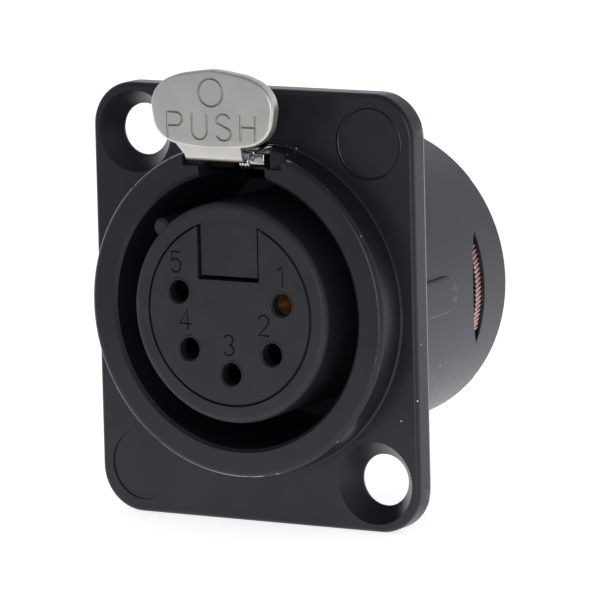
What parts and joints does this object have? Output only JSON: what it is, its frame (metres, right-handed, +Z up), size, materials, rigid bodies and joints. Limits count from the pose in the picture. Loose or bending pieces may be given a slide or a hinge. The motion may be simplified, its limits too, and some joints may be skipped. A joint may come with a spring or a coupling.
{
  "type": "panel-mount circular audio connector",
  "caption": "Square-flanged female panel connector with five socket contacts and a sprung push latch at the top.",
  "frame": {"origin": "on the socket's axis, in the plane of the flange's back face", "axes": "-Y out of the socket's front, +Z up towards the latch, +X to the right seen from the front"},
  "size_m": [0.026, 0.0267, 0.0329],
  "materials": {
    "black_casting": "satin black over zinc",
    "black_moulding": "fine matt",
    "gold_contact": "gold plated",
    "satin_nickel": "satin",
    "bright_steel": "polished",
    "bronze_spring": "bright"
  },
  "bodies": {
    "socket": {"shell": "black_casting", "insert_sleeve": "black_moulding", "contact_carrier": "black_moulding", "rear_cap": "black_moulding", "contact_1": "gold_contact", "contact_2": "gold_contact", "contact_3": "gold_contact", "contact_4": "gold_contact", "contact_5": "gold_contact", "latch_pin": "bright_steel", "latch_spring": "bright_steel", "ground_contact": "bronze_spring", "retaining_ring": "bronze_spring"},
    "lever": {"latch_lever": "satin_nickel"}
  },
  "joints": [
    {"name": "latch_hinge", "type": "hinge", "parent": "socket", "child": "lever", "pos_m": [0, -0.00293, 0.01056], "axis": [1, 0, 0], "range_deg": [0, 14], "stiffness_Nm_per_rad": 0.02, "springref_deg": -20.05, "deforming": ["latch_spring"]}
  ]
}
